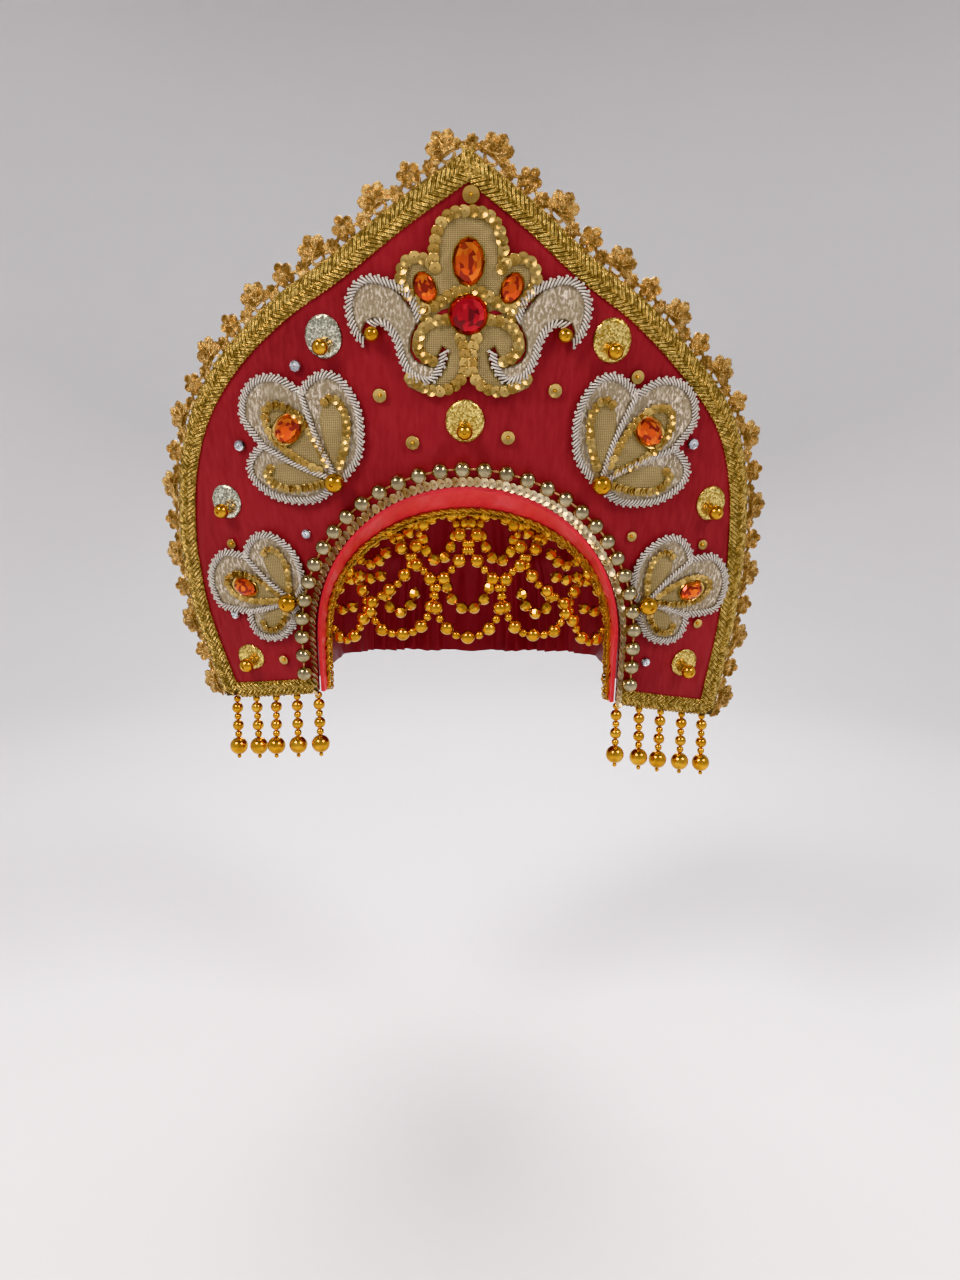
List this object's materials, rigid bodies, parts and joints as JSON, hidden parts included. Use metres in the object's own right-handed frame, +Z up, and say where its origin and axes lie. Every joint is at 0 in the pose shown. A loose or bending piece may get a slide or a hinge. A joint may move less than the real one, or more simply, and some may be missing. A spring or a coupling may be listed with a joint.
{
  "type": "kokoshnik headdress",
  "caption": "Tall pointed crown panel with a rounded face arch on a soft cap, edged with lace and hung with bead strings.",
  "frame": {"origin": "the seat of the hat: the inside of the cap on the crown of the head", "axes": "+Z up, -Y the way the wearer faces, +X to the wearer's left; left and right in node names are as seen from the front"},
  "size_m": [0.3429, 0.2547, 0.3314],
  "materials": {
    "red_satin": "satin, deep red",
    "gold_braid": "metallic herringbone braid, antique gold",
    "gold_lace": "metallic guipure lace, light gold",
    "gold_sequin": "cup sequins, pale gold",
    "gold_bead": "metallised plastic, warm gold",
    "champagne_bead": "metallised plastic, champagne",
    "gold_cloth": "metallic knit cloth, olive gold",
    "silver_lame": "lame with a twisted silver cord",
    "silver_glitter": "holographic glitter",
    "amber_stone": "faceted, clear orange",
    "red_stone": "faceted, clear red"
  },
  "bodies": {
    "root": {"arch_bead_string": "champagne_bead", "arch_sequin_trim": "gold_sequin", "back_cap": "red_satin", "band_braid": "gold_braid", "crest_patch": "gold_cloth", "crest_stone_left": "amber_stone", "crest_stone_right": "amber_stone", "crest_stone_round": "red_stone", "crest_stone_top": "amber_stone", "crown_panel": "red_satin", "disc_bead_lower_left": "gold_bead", "disc_bead_lower_right": "gold_bead", "disc_bead_middle": "gold_bead", "disc_bead_side_left": "gold_bead", "disc_bead_side_right": "gold_bead", "disc_bead_upper_left": "gold_bead", "disc_bead_upper_right": "gold_bead", "disc_lower_left": "gold_sequin", "disc_lower_right": "gold_sequin", "disc_middle": "gold_sequin", "disc_side_left": "silver_glitter", "disc_side_right": "gold_sequin", "disc_upper_left": "silver_glitter", "disc_upper_right": "gold_sequin", "edge_braid": "gold_braid", "flower_lower_left": "silver_lame", "flower_lower_left_bead": "gold_bead", "flower_lower_left_stone": "amber_stone", "flower_lower_right": "silver_lame", "flower_lower_right_bead": "gold_bead", "flower_lower_right_stone": "amber_stone", "flower_upper_left": "silver_lame", "flower_upper_left_bead": "gold_bead", "flower_upper_left_stone": "amber_stone", "flower_upper_right": "silver_lame", "flower_upper_right_bead": "gold_bead", "flower_upper_right_stone": "amber_stone", "forehead_band": "red_satin", "forehead_net": "gold_bead", "hem_braid_left": "gold_braid", "hem_braid_right": "gold_braid", "lace_edging": "gold_lace", "pendant_left_1": "gold_bead", "pendant_left_2": "gold_bead", "pendant_left_3": "gold_bead", "pendant_left_4": "gold_bead", "pendant_left_5": "gold_bead", "pendant_right_1": "gold_bead", "pendant_right_2": "gold_bead", "pendant_right_3": "gold_bead", "pendant_right_4": "gold_bead", "pendant_right_5": "gold_bead", "scroll_bead_left": "gold_bead", "scroll_bead_right": "gold_bead", "scroll_left": "silver_lame", "scroll_right": "silver_lame"}
  },
  "joints": []
}
